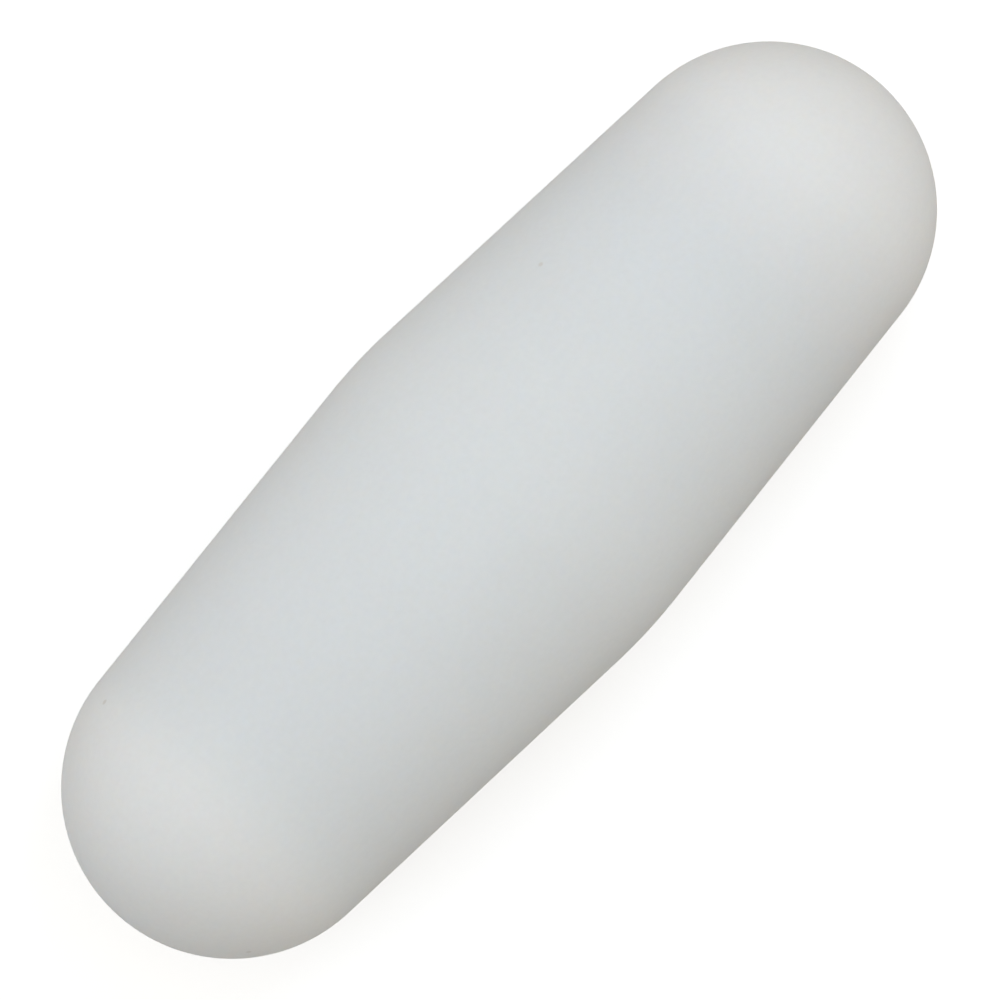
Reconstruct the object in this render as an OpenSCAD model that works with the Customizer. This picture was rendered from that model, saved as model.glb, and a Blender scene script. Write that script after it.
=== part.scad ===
// Magnetic stir bar: a rod magnet sealed inside a seamless PTFE jacket.
// Millimetres, +Z up. The bar lies along X with its centre at the origin.
// The jacket is a solid of revolution about X. From a softly rounded crest halfway
// along, a straight moulding taper falls each way to a round domed end.

/* [Jacket] */
// Overall length of the bar, from tip to tip
bar_length = 20; // [16:0.5:40]
// Diameter at the crest, the widest place, halfway along the bar
crest_d = 7; // [6.5:0.1:9]
// How far the surface falls, on each side, from the crest to the domed ends
crest_rise = 0.5; // [0.2:0.05:0.7]
// Radius of the rounding that joins the two tapers at the crest
crest_round = 10; // [5:0.5:14]
// How far the tip of the bar stands beyond each end of the magnet
end_wall = 3.5; // [2:0.1:5]

/* [Magnet] */
// Diameter of the rod magnet
magnet_d = 4; // [2.5:0.1:4.2]
// Chamfer ground on both ends of the magnet
magnet_chamfer = 0.3; // [0.1:0.05:0.5]

/* [Fit] */
// Gap all round between the magnet and the pocket that the PTFE forms over it
pocket_gap = 0.02; // [0.01:0.01:0.05]

/* [Hidden] */
$fn = 160;

// Largest angle between neighbouring points on an arc of the outline, in degrees
arc_step = 3;

// Each domed end is a hemisphere that its taper runs into without a corner.
dome_r = crest_d / 2 - crest_rise;
dome_centre = [bar_length / 2 - dome_r, 0];

// The crest's arc is flatter than the bar, so its centre lies beyond the axis.
crest_centre = [0, crest_d / 2 - crest_round];

// The taper touches both arcs, which it meets at this bearing, measured from upright.
centre_step = dome_centre - crest_centre;
taper_angle = atan2(centre_step.x, centre_step.y)
    - acos((crest_round - dome_r) / norm(centre_step));
tip_angle = 90;

magnet_r = magnet_d / 2;
magnet_end = bar_length / 2 - end_wall;

// Points on an arc, from one bearing to another. Bearing 0 points away from the axis.
function arc(centre, radius, from, to) =
    let (steps = ceil((to - from) / arc_step))
    [for (i = [0:steps])
        let (bearing = from + (to - from) * i / steps)
        centre + radius * [sin(bearing), cos(bearing)]];

// Outline of one half of the bar, from the crest to the tip. The straight taper is
// the step from the crest's last point to the dome's first.
half_outline = concat(
    arc(crest_centre, crest_round, 0, taper_angle),
    arc(dome_centre, dome_r, taper_angle, tip_angle)
);

// Revolves an outline of [place along X, radius] points about the X axis.
module turned(outline) {
    rotate([90, 0, 90])
        rotate_extrude()
            polygon([for (point = outline) [point.y, point.x]]);
}

// The half outline, with its mirror image on the other side of the crest.
module bar_solid() {
    turned(concat(
        [for (i = [len(half_outline) - 1:-1:1]) [-half_outline[i].x, half_outline[i].y]],
        half_outline
    ));
}

// Rod with both ends chamfered, given its radius and half of its length.
module chamfered_rod(radius, half_length) {
    shoulder = half_length - magnet_chamfer;
    face_r = radius - magnet_chamfer;
    turned([
        [-half_length, 0],
        [-half_length, face_r],
        [-shoulder, radius],
        [shoulder, radius],
        [half_length, face_r],
        [half_length, 0]
    ]);
}

// One seamless piece of PTFE, moulded round the magnet.
module jacket() {
    color([0.9, 0.91, 0.9])
        difference() {
            bar_solid();
            chamfered_rod(magnet_r + pocket_gap, magnet_end + pocket_gap);
        }
}

// Cast rod magnet, sealed in the jacket's pocket.
module magnet() {
    color([0.42, 0.42, 0.44])
        chamfered_rod(magnet_r, magnet_end);
}

jacket();
magnet();
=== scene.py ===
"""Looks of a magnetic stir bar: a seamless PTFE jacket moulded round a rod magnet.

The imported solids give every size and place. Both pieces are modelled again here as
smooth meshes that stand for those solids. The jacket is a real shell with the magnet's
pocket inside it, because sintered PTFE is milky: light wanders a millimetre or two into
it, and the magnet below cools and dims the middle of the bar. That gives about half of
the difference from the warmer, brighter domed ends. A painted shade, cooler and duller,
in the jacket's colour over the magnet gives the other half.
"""

import logging
import math
from collections.abc import Callable
from dataclasses import dataclass, field
from enum import Enum

import bmesh
import bpy
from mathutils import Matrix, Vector


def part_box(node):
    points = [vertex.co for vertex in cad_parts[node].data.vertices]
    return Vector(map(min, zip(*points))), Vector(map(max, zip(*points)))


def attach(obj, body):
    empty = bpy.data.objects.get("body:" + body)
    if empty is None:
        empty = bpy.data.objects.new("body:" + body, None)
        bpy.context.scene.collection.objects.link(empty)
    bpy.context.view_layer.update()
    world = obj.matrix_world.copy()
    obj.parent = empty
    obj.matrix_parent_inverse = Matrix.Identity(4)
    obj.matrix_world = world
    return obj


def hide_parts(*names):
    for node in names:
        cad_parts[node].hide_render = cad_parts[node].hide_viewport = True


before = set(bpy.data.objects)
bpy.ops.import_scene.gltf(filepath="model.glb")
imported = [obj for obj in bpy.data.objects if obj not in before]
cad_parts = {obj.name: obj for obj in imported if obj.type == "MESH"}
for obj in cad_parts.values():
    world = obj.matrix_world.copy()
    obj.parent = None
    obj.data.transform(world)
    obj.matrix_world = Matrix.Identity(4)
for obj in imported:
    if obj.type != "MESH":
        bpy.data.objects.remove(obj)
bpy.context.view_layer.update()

# Lengths are in metres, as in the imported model.
MM = 0.001
# Vertices closer than this are merged into one.
MERGE = 1e-4 * MM
# A vertex this close to a place counts as being there.
AT_PLACE = 0.01 * MM
# Edges where the surface turns by more than this stay sharp.
CREASE = math.radians(30)
# Most values of a noise texture lie between these two.
NOISE_LOW, NOISE_HIGH = 0.25, 0.75
X_AXIS = Vector((1, 0, 0))
UP = Vector((0, 0, 1))
# Spun about this axis, the top of a circle moves towards -X.
ACROSS = Vector((0, 1, 0))
log = logging.getLogger("stir_bar")


class Facing(Enum):
    """Which way the faces of a closed shell point."""

    OUTWARD = "away from the axis"
    INWARD = "towards the axis, as the walls of a sealed pocket do"


class Slot(Enum):
    """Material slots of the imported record."""

    PTFE = "ptfe"
    MAGNET_ALLOY = "magnet_alloy"


def linear(hex_colour: str) -> tuple[float, float, float, float]:
    """Turns an sRGB hex colour into the linear colour that a socket takes.

    Args:
        hex_colour: Six hex digits, such as "E6E8E6".

    Returns:
        Red, green, blue and an alpha of 1.
    """
    channels = [int(hex_colour[i:i + 2], 16) / 255 for i in (0, 2, 4)]
    flat = [c / 12.92 if c <= 0.04045 else ((c + 0.055) / 1.055) ** 2.4 for c in channels]
    return (*flat, 1.0)


def add_node(tree: bpy.types.NodeTree, kind: str, settings: dict | None = None,
             links: dict | None = None, values: dict | None = None) -> bpy.types.Node:
    """Adds one node to a tree, with its settings, incoming links and fixed values.

    Args:
        tree: The node tree that gets the node.
        kind: The node's type, such as "ShaderNodeTexNoise".
        settings: Properties of the node itself, by name.
        links: Output sockets that this node's inputs read, by input name or number.
        values: Fixed input values, by input name or number.

    Returns:
        The new node.
    """
    node = tree.nodes.new(kind)
    for name, value in (settings or {}).items():
        setattr(node, name, value)
    for name, value in (values or {}).items():
        node.inputs[name].default_value = value
    for name, source in (links or {}).items():
        tree.links.new(source, node.inputs[name])
    return node


def new_tree(name: str) -> tuple[bpy.types.Material, bpy.types.NodeTree]:
    """Makes an empty material.

    Args:
        name: The material's name.

    Returns:
        The material and its node tree, with no nodes in it.
    """
    material = bpy.data.materials.new(name)
    material.use_nodes = True
    material.node_tree.nodes.clear()
    return material, material.node_tree


def turned_size(node: str) -> tuple[float, float]:
    """Reads the size of a CAD node that is round about the X axis.

    Args:
        node: The node's name.

    Returns:
        Half of its length, and its largest radius.
    """
    low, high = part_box(node)
    return (high.x - low.x) / 2, max(-low.y, high.y, -low.z, high.z)


def edit(piece: bpy.types.Object, wanted: Callable[[Vector], bool]) -> None:
    """Opens one piece in edit mode with some of its vertices selected.

    Args:
        piece: The mesh to open.
        wanted: Says, from a vertex's place, if it is selected.
    """
    bpy.ops.object.mode_set(mode="OBJECT")
    bpy.ops.object.select_all(action="DESELECT")
    piece.select_set(True)
    bpy.context.view_layer.objects.active = piece
    bpy.ops.object.mode_set(mode="EDIT")
    bpy.ops.mesh.select_mode(type="VERT")
    bpy.ops.mesh.select_all(action="DESELECT")
    mesh = bmesh.from_edit_mesh(piece.data)
    for vertex in mesh.verts:
        vertex.select_set(wanted(vertex.co))
    mesh.select_flush_mode()
    bmesh.update_edit_mesh(piece.data)


def close(piece: bpy.types.Object, facing: Facing) -> None:
    """Merges a shell's doubles, turns its faces the right way and leaves edit mode.

    Args:
        piece: The shell.
        facing: Which way its faces are to point.
    """
    edit(piece, lambda place: True)
    bpy.ops.mesh.remove_doubles(threshold=MERGE)
    bpy.ops.mesh.normals_make_consistent(inside=facing is Facing.INWARD)
    bpy.ops.object.mode_set(mode="OBJECT")


def finish_piece(piece: bpy.types.Object, name: str, node: str,
                 material: bpy.types.Material) -> bpy.types.Object:
    """Names and dresses a piece, and lets it stand for its CAD node.

    Args:
        piece: The finished mesh.
        name: The piece's name.
        node: The CAD node that it stands for.
        material: Its finish.

    Returns:
        The piece.
    """
    piece.name = piece.data.name = name
    piece.data.materials.clear()
    piece.data.materials.append(material)
    bpy.ops.object.shade_smooth_by_angle(angle=CREASE)
    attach(piece, "root")
    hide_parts(node)
    size = piece.dimensions / MM
    log.info("%s: %d faces, %.2f x %.2f x %.2f mm, in %s", name, len(piece.data.polygons),
             size.x, size.y, size.z, material.name)
    return piece


@dataclass(frozen=True)
class SinteredPtfe:
    """PTFE powder moulded and sintered: milky, waxy white with a satin skin.

    Light scatters inside it, red farther than blue, so edges glow softly and whatever
    lies under the skin shades it. About as much of that shade again is painted into
    the colour itself, as a cooler, duller band over the magnet, where an exported model
    keeps it.
    """

    # Painted shade: the colour over the magnet is cooler and duller than at the ends,
    # standing in for the magnet's shade through the PTFE.
    painted_magnet_shade: str = "E7EAE9"
    solid_ends: str = "EBECEA"
    speck: str = "DDDCD7"
    ior: float = 1.35
    roughness: float = 0.7
    roughness_swing: float = 0.06
    scatter_reach: tuple[float, float, float] = (1.0, 0.87, 0.75)
    scatter_scale: float = 2.1 * MM
    # The painted shade over the magnet, cooler and duller, fades out between these
    # distances from the middle of its band. The band lies off the bar's middle, as a
    # moulded-in magnet may. The modelled magnet stays centred.
    painted_shade_middle: float = -0.85 * MM
    painted_shade_from: float = 5.9 * MM
    painted_shade_to: float = 7.1 * MM
    cloud_width: float = 2.2 * MM
    cloud_detail: float = 3.0
    cloud_depth: float = 0.018
    # The sintered grain is about 0.03 mm. It is drawn coarser so that it shows.
    grain_width: float = 0.11 * MM
    grain_detail: float = 2.0
    grain_depth: float = 0.024
    grain_height: float = 0.003 * MM
    speck_spacing: float = 1.5 * MM
    # The radius is a fraction of the spacing. One cell in about eight has a speck.
    speck_radius: float = 0.045
    speck_share: float = 0.12

    def material(self) -> bpy.types.Material:
        """Makes the jacket's material.

        Returns:
            The material, on Object coordinates.
        """
        material, tree = new_tree("sintered_ptfe")
        place = add_node(tree, "ShaderNodeTexCoord").outputs["Object"]
        along = add_node(tree, "ShaderNodeSeparateXYZ", links={0: place}).outputs["X"]
        off_band = add_node(tree, "ShaderNodeMath", {"operation": "SUBTRACT"}, {0: along},
                            {1: self.painted_shade_middle})
        from_middle = add_node(tree, "ShaderNodeMath", {"operation": "ABSOLUTE"},
                               {0: off_band.outputs[0]}).outputs[0]
        # Painted shade: a cooler, duller colour over the magnet, fading out to the plain
        # colour of the ends.
        beyond_painted_shade = add_node(
            tree, "ShaderNodeMapRange", {"interpolation_type": "SMOOTHSTEP"},
            {"Value": from_middle},
            {"From Min": self.painted_shade_from, "From Max": self.painted_shade_to}).outputs[0]
        body = add_node(
            tree, "ShaderNodeMix", {"data_type": "RGBA"}, {"Factor": beyond_painted_shade},
            {"A": linear(self.painted_magnet_shade), "B": linear(self.solid_ends)})
        cloud = add_node(tree, "ShaderNodeTexNoise", links={"Vector": place},
                         values={"Scale": 1 / self.cloud_width,
                                 "Detail": self.cloud_detail})
        grain = add_node(tree, "ShaderNodeTexNoise", links={"Vector": place},
                         values={"Scale": 1 / self.grain_width,
                                 "Detail": self.grain_detail})
        mottled = body.outputs["Result"]
        for noise, depth in ((cloud, self.cloud_depth), (grain, self.grain_depth)):
            shade = add_node(
                tree, "ShaderNodeMapRange", links={"Value": noise.outputs["Fac"]},
                values={"From Min": NOISE_LOW, "From Max": NOISE_HIGH,
                        "To Min": 1 - depth / 2, "To Max": 1 + depth / 2})
            mottled = add_node(
                tree, "ShaderNodeMix", {"data_type": "RGBA", "blend_type": "MULTIPLY"},
                {"A": mottled, "B": shade.outputs[0]}, {"Factor": 1.0}).outputs["Result"]
        colour = add_node(
            tree, "ShaderNodeMix", {"data_type": "RGBA"},
            {"Factor": self.specks(tree, place), "A": mottled},
            {"B": linear(self.speck)})
        dull = add_node(
            tree, "ShaderNodeMapRange", links={"Value": grain.outputs["Fac"]},
            values={"To Min": self.roughness - self.roughness_swing,
                    "To Max": self.roughness + self.roughness_swing})
        relief = add_node(tree, "ShaderNodeBump", links={"Height": grain.outputs["Fac"]},
                          values={"Strength": 1.0, "Distance": self.grain_height})
        shader = add_node(
            tree, "ShaderNodeBsdfPrincipled", {"subsurface_method": "RANDOM_WALK"},
            {"Base Color": colour.outputs["Result"], "Roughness": dull.outputs[0],
             "Normal": relief.outputs[0]},
            {"IOR": self.ior, "Subsurface Weight": 1.0,
             "Subsurface Radius": self.scatter_reach, "Subsurface Scale": self.scatter_scale})
        add_node(tree, "ShaderNodeOutputMaterial", links={"Surface": shader.outputs[0]})
        return material

    def specks(self, tree: bpy.types.NodeTree, place: bpy.types.NodeSocket
               ) -> bpy.types.NodeSocket:
        """Scatters a few tiny specks, as stray grains leave in moulded PTFE.

        Args:
            tree: The material's node tree.
            place: Object coordinates.

        Returns:
            A factor, 1 in a speck and 0 elsewhere.
        """
        cells = add_node(tree, "ShaderNodeTexVoronoi", links={"Vector": place},
                         values={"Scale": 1 / self.speck_spacing})
        dot = add_node(
            tree, "ShaderNodeMapRange", {"interpolation_type": "SMOOTHSTEP"},
            {"Value": cells.outputs["Distance"]},
            {"From Min": self.speck_radius, "From Max": self.speck_radius / 2})
        draw = add_node(tree, "ShaderNodeSeparateColor", links={0: cells.outputs["Color"]})
        chosen = add_node(tree, "ShaderNodeMath", {"operation": "LESS_THAN"},
                          {0: draw.outputs[0]}, {1: self.speck_share})
        return add_node(tree, "ShaderNodeMath", {"operation": "MULTIPLY"},
                        {0: dot.outputs[0], 1: chosen.outputs[0]}).outputs[0]


@dataclass(frozen=True)
class GroundMagnetAlloy:
    """Cast aluminium-nickel-cobalt alloy, centreless ground: dull grey with fine rings."""

    metal: str = "85858A"
    pit: str = "5E5E62"
    roughness: float = 0.45
    roughness_swing: float = 0.15
    # Grinding leaves lines about 0.01 mm apart. They are drawn coarser so that they show.
    line_width: float = 0.06 * MM
    line_detail: float = 3.0
    line_height: float = 0.004 * MM
    # A casting pit begins where its noise passes the first value, and is full at the
    # second.
    pit_width: float = 0.25 * MM
    pit_detail: float = 4.0
    pit_from: float = 0.62
    pit_to: float = 0.7

    def material(self) -> bpy.types.Material:
        """Makes the magnet's material.

        Returns:
            The material, on Object coordinates.
        """
        material, tree = new_tree("ground_magnet_alloy")
        place = add_node(tree, "ShaderNodeTexCoord").outputs["Object"]
        along = add_node(tree, "ShaderNodeSeparateXYZ", links={0: place}).outputs["X"]
        lines = add_node(tree, "ShaderNodeTexNoise", {"noise_dimensions": "1D"},
                         {"W": along},
                         {"Scale": 1 / self.line_width, "Detail": self.line_detail})
        pits = add_node(tree, "ShaderNodeTexNoise", links={"Vector": place},
                        values={"Scale": 1 / self.pit_width,
                                "Detail": self.pit_detail})
        pitted = add_node(
            tree, "ShaderNodeMapRange", {"interpolation_type": "SMOOTHSTEP"},
            {"Value": pits.outputs["Fac"]},
            {"From Min": self.pit_from, "From Max": self.pit_to})
        colour = add_node(tree, "ShaderNodeMix", {"data_type": "RGBA"},
                          {"Factor": pitted.outputs[0]},
                          {"A": linear(self.metal), "B": linear(self.pit)})
        dull = add_node(
            tree, "ShaderNodeMapRange", links={"Value": lines.outputs["Fac"]},
            values={"To Min": self.roughness - self.roughness_swing,
                    "To Max": self.roughness + self.roughness_swing})
        relief = add_node(tree, "ShaderNodeBump", links={"Height": lines.outputs["Fac"]},
                          values={"Strength": 1.0, "Distance": self.line_height})
        shader = add_node(
            tree, "ShaderNodeBsdfPrincipled", links={
                "Base Color": colour.outputs["Result"], "Roughness": dull.outputs[0],
                "Normal": relief.outputs[0]},
            values={"Metallic": 1.0})
        add_node(tree, "ShaderNodeOutputMaterial", links={"Surface": shader.outputs[0]})
        return material


@dataclass
class RodMagnet:
    """The rod magnet, a ground cylinder with chamfered ends."""

    half_length: float
    radius: float
    chamfer: float = 0.3 * MM
    edge_break: float = 0.04 * MM
    edge_steps: int = 2
    segments: int = 128
    finish: GroundMagnetAlloy = field(default_factory=GroundMagnetAlloy)

    def rod(self, margin: float = 0.0) -> bpy.types.Object:
        """Models the chamfered rod about the X axis.

        Args:
            margin: How far the surface stands out from the magnet's own, all round.

        Returns:
            The rod, active and in object mode.
        """
        radius = self.radius + margin
        half_length = self.half_length + margin
        bpy.ops.object.select_all(action="DESELECT")
        bpy.ops.mesh.primitive_cylinder_add(
            vertices=self.segments, radius=radius, depth=2 * half_length,
            rotation=(0, math.pi / 2, 0))
        rod = bpy.context.object
        bpy.ops.object.transform_apply(rotation=True)
        for side in (-1, 1):
            edit(rod, lambda place: place.x * side > half_length - AT_PLACE)
            bpy.ops.mesh.bevel(offset=self.chamfer, offset_type="OFFSET", segments=1)
        bpy.ops.object.mode_set(mode="OBJECT")
        return rod

    def build(self) -> bpy.types.Object:
        """Models and dresses the magnet.

        Returns:
            The finished piece.
        """
        rod = self.rod()
        chamfer_start = self.half_length - self.chamfer - AT_PLACE
        for side in (-1, 1):
            edit(rod, lambda place: place.x * side > chamfer_start)
            bpy.ops.mesh.region_to_loop()
            bpy.ops.mesh.bevel(offset=self.edge_break, segments=self.edge_steps)
        close(rod, Facing.OUTWARD)
        return finish_piece(rod, "rod_magnet", "magnet",
                            self.finish.material())


@dataclass
class Jacket:
    """The PTFE jacket: two moulding tapers, a soft crest, domed ends and a sealed pocket."""

    half_length: float
    crest_radius: float
    contents: RodMagnet
    crest_rise: float = 0.5 * MM
    crest_round: float = 10 * MM
    pocket_gap: float = 0.02 * MM
    crest_steps: int = 8
    taper_steps: int = 24
    dome_steps: int = 60
    segments: int = 192
    finish: SinteredPtfe = field(default_factory=SinteredPtfe)

    @property
    def dome_radius(self) -> float:
        """Radius of the domed ends, which each taper runs into without a corner."""
        return self.crest_radius - self.crest_rise

    @property
    def dome_centre(self) -> Vector:
        """Middle of the dome at the +X end."""
        return X_AXIS * (self.half_length - self.dome_radius)

    @property
    def crest_centre(self) -> Vector:
        """Middle of the crest's arc, beyond the axis."""
        return Vector((0, 0, self.crest_radius - self.crest_round))

    @property
    def taper(self) -> float:
        """Slope of the taper, which touches the crest's arc and the dome's."""
        between = self.dome_centre - self.crest_centre
        return math.atan2(between.x, between.z) - math.acos(
            (self.crest_round - self.dome_radius) / between.length)

    def outline(self) -> bpy.types.Object:
        """Models half of the bar's outline, from the tip to the middle of the crest.

        Returns:
            The open outline, in edit mode.
        """
        slope = self.taper
        outward = Vector((math.sin(slope), 0, math.cos(slope)))
        towards_tip = Vector((math.cos(slope), 0, -math.sin(slope)))
        taper_start = self.crest_centre + outward * self.crest_round
        taper_end = self.dome_centre + outward * self.dome_radius
        bpy.ops.object.select_all(action="DESELECT")
        bpy.ops.mesh.primitive_circle_add(
            vertices=4 * self.dome_steps, radius=self.dome_radius,
            location=self.dome_centre, rotation=(math.pi / 2, 0, 0))
        half = bpy.context.object
        bpy.ops.object.transform_apply()
        edit(half, lambda place: True)
        for kept_side in (UP, towards_tip):
            bpy.ops.mesh.select_all(action="SELECT")
            bpy.ops.mesh.bisect(plane_co=self.dome_centre, plane_no=kept_side,
                                clear_inner=True, threshold=MERGE)
        edit(half, lambda place: (place - taper_end).length < AT_PLACE)
        step = (taper_start - taper_end) / self.taper_steps
        for _ in range(self.taper_steps):
            bpy.ops.mesh.extrude_vertices_move(TRANSFORM_OT_translate={"value": step})
        bpy.ops.mesh.spin(steps=self.crest_steps, angle=slope, center=self.crest_centre,
                          axis=ACROSS)
        return half

    def outside(self) -> bpy.types.Object:
        """Models the outer surface by turning the half outline, and mirrors it.

        Returns:
            The closed outer shell, active and in object mode.
        """
        shell = self.outline()
        bpy.ops.mesh.select_all(action="SELECT")
        bpy.ops.mesh.spin(steps=self.segments, angle=2 * math.pi, center=(0, 0, 0),
                          axis=X_AXIS)
        bpy.ops.object.mode_set(mode="OBJECT")
        mirror = shell.modifiers.new("other_half", "MIRROR")
        mirror.merge_threshold = MERGE
        bpy.ops.object.modifier_apply(modifier=mirror.name)
        close(shell, Facing.OUTWARD)
        return shell

    def pocket(self) -> bpy.types.Object:
        """Models the sealed pocket that the PTFE forms round the magnet.

        Returns:
            The pocket's wall, facing inwards.
        """
        wall = self.contents.rod(self.pocket_gap)
        close(wall, Facing.INWARD)
        return wall

    def build(self) -> bpy.types.Object:
        """Models and dresses the jacket.

        Returns:
            The finished piece.
        """
        wall = self.pocket()
        shell = self.outside()
        wall.select_set(True)
        bpy.ops.object.join()
        return finish_piece(shell, "ptfe_jacket", "jacket",
                            self.finish.material())


@dataclass(frozen=True)
class BenchPaper:
    """Matt white paper under the bar. It shows white and still takes the bar's shadow."""

    paper: str = "C8C8C6"
    # Other rays see duller paper, so the light that it throws back up stays low.
    bounce: str = "7A7670"
    # A glow lifts what the lamps leave short of white. Near the bar it is weaker, so that
    # the shadow shows, and it grows to full strength between these distances.
    lift_near: float = 0.65
    lift_far: float = 1.0
    lift_from: float = 14 * MM
    lift_to: float = 60 * MM

    def material(self) -> bpy.types.Material:
        """Makes the floor's material.

        Returns:
            The material, on Object coordinates.
        """
        material, tree = new_tree("bench_paper")
        place = add_node(tree, "ShaderNodeTexCoord").outputs["Object"]
        away = add_node(tree, "ShaderNodeVectorMath", {"operation": "LENGTH"}, {0: place})
        lift = add_node(
            tree, "ShaderNodeMapRange", {"interpolation_type": "SMOOTHSTEP"},
            {"Value": away.outputs["Value"]},
            {"From Min": self.lift_from, "From Max": self.lift_to,
             "To Min": self.lift_near, "To Max": self.lift_far})
        glow = add_node(tree, "ShaderNodeEmission", links={"Strength": lift.outputs[0]})
        lit = add_node(tree, "ShaderNodeBsdfDiffuse", values={"Color": linear(self.paper)})
        seen = add_node(tree, "ShaderNodeAddShader",
                        links={0: glow.outputs[0], 1: lit.outputs[0]})
        bounce = add_node(tree, "ShaderNodeBsdfDiffuse",
                          values={"Color": linear(self.bounce)})
        shader = add_node(tree, "ShaderNodeMixShader",
                          links={0: background_rays(tree), 1: bounce.outputs[0],
                                 2: seen.outputs[0]})
        add_node(tree, "ShaderNodeOutputMaterial", links={"Surface": shader.outputs[0]})
        return material


def background_rays(tree: bpy.types.NodeTree) -> bpy.types.NodeSocket:
    """Tells the rays that show the background from those that light the bar.

    Args:
        tree: The node tree to add the test to.

    Returns:
        1 for camera, glossy and transmission rays, and 0 for the rest.
    """
    rays = add_node(tree, "ShaderNodeLightPath").outputs
    glossy = add_node(tree, "ShaderNodeMath", {"operation": "MAXIMUM"},
                      {0: rays["Is Camera Ray"], 1: rays["Is Glossy Ray"]})
    return add_node(tree, "ShaderNodeMath", {"operation": "MAXIMUM"},
                    {0: glossy.outputs[0], 1: rays["Is Transmission Ray"]}).outputs[0]


@dataclass(frozen=True)
class Softbox:
    """A soft square lamp that points at the bar's middle.

    Angles are in degrees, and the azimuth is counted from +Y towards +X.
    """

    name: str
    azimuth: float
    elevation: float
    # About how bright white paper at the bar is when it faces the lamp. 1 shows white.
    level: float
    tint: str
    distance: float = 400 * MM
    size: float = 350 * MM

    def build(self) -> bpy.types.Object:
        """Makes the lamp.

        Returns:
            The lamp's object.
        """
        azimuth, elevation = math.radians(self.azimuth), math.radians(self.elevation)
        away = Vector((math.cos(elevation) * math.sin(azimuth),
                       math.cos(elevation) * math.cos(azimuth), math.sin(elevation)))
        data = bpy.data.lights.new(self.name, "AREA")
        # A small lamp of P watts, d away, lights white paper to P / (pi * d) ** 2.
        data.energy = self.level * (math.pi * self.distance) ** 2
        data.color = linear(self.tint)[:3]
        data.size = self.size
        lamp = bpy.data.objects.new(self.name, data)
        bpy.context.scene.collection.objects.link(lamp)
        lamp.location = away * self.distance
        lamp.rotation_euler = away.to_track_quat("Z", "Y").to_euler()
        lamp.visible_camera = False
        return lamp


@dataclass
class Studio:
    """Pale bench, white surroundings and soft lamps."""

    bench_height: float
    ambient: str = "FFFDF9"
    ambient_strength: float = 0.65
    floor_size: float = 4.0
    floor_cells: int = 8
    floor_finish: BenchPaper = field(default_factory=BenchPaper)
    # Left and right are those of the camera's picture.
    lamps: tuple[Softbox, ...] = (
        Softbox("overhead", 90, 70, 0.183, "D4E6FF", distance=60 * MM, size=20 * MM),
        Softbox("left_fill", 317, 22, 0.171, "CAE2FF"),
        Softbox("right_fill", 137, 22, 0.099, "FFECD5"),
        Softbox("side_fill", 2, 22, 0.068, "FFCF7A"),
    )

    def floor(self) -> bpy.types.Object:
        """Lays the bench under the bar.

        Returns:
            The floor.
        """
        bpy.ops.object.select_all(action="DESELECT")
        bpy.ops.mesh.primitive_grid_add(x_subdivisions=self.floor_cells,
                                        y_subdivisions=self.floor_cells,
                                        size=self.floor_size)
        floor = bpy.context.object
        edit(floor, lambda place: True)
        bpy.ops.transform.translate(value=(0, 0, self.bench_height))
        bpy.ops.object.mode_set(mode="OBJECT")
        floor.name = floor.data.name = "bench"
        floor.data.materials.append(self.floor_finish.material())
        return floor

    def surroundings(self) -> bpy.types.World:
        """Makes the world: white to look at, with a soft ambient light.

        Returns:
            The scene's world.
        """
        world = bpy.data.worlds.new("white_room")
        world.use_nodes = True
        tree = world.node_tree
        tree.nodes.clear()
        seen = add_node(tree, "ShaderNodeBackground", values={"Color": linear("FFFFFF")})
        ambient = add_node(tree, "ShaderNodeBackground", values={
            "Color": linear(self.ambient), "Strength": self.ambient_strength})
        mixed = add_node(tree, "ShaderNodeMixShader",
                         links={0: background_rays(tree), 1: ambient.outputs[0],
                                2: seen.outputs[0]})
        add_node(tree, "ShaderNodeOutputWorld", links={"Surface": mixed.outputs[0]})
        bpy.context.scene.world = world
        return world

    def build(self) -> None:
        """Makes the floor, the world and the lamps."""
        self.floor()
        self.surroundings()
        for lamp in self.lamps:
            lamp.build()
        log.info("studio: floor, surroundings and %d soft lamps", len(self.lamps))


@dataclass(frozen=True)
class Viewpoint:
    """Where the camera stands, from the middle of the bar.

    Its heading is counted from +Y towards +X, and points up in its picture.
    """

    elevation: float = math.radians(82)
    heading: float = math.radians(47.41)
    distance: float = 100 * MM
    nearest: float = 10 * MM
    farthest: float = 10.0
    width_seen: float = 17.684 * MM
    aim_right: float = -0.04 * MM
    aim_up: float = -0.057 * MM

    def build(self) -> bpy.types.Object:
        """Makes the scene's camera.

        Returns:
            The camera.
        """
        ahead = Vector((math.sin(self.heading), math.cos(self.heading), 0))
        back = Vector((0, 0, math.sin(self.elevation))) - ahead * math.cos(self.elevation)
        right = Vector((ahead.y, -ahead.x, 0))
        up = right.cross(-back)
        data = bpy.data.cameras.new("camera")
        data.lens = data.sensor_width * self.distance / self.width_seen
        data.clip_start, data.clip_end = self.nearest, self.farthest
        camera = bpy.data.objects.new("camera", data)
        bpy.context.scene.collection.objects.link(camera)
        camera.location = back * self.distance + right * self.aim_right + up * self.aim_up
        camera.rotation_mode = "QUATERNION"
        camera.rotation_quaternion = (-back).to_track_quat("-Z", "Y")
        bpy.context.scene.camera = camera
        return camera


def main() -> None:
    """Builds the bar, its studio and the camera."""
    logging.basicConfig(level=logging.INFO, format="%(name)s: %(message)s")
    bpy.context.scene.view_settings.view_transform = "Standard"
    magnet = RodMagnet(*turned_size("magnet"))
    magnet.build()
    jacket = Jacket(*turned_size("jacket"), magnet)
    jacket.build()
    Studio(bench_height=-jacket.crest_radius).build()
    Viewpoint().build()


if __name__ == "__main__":
    main()
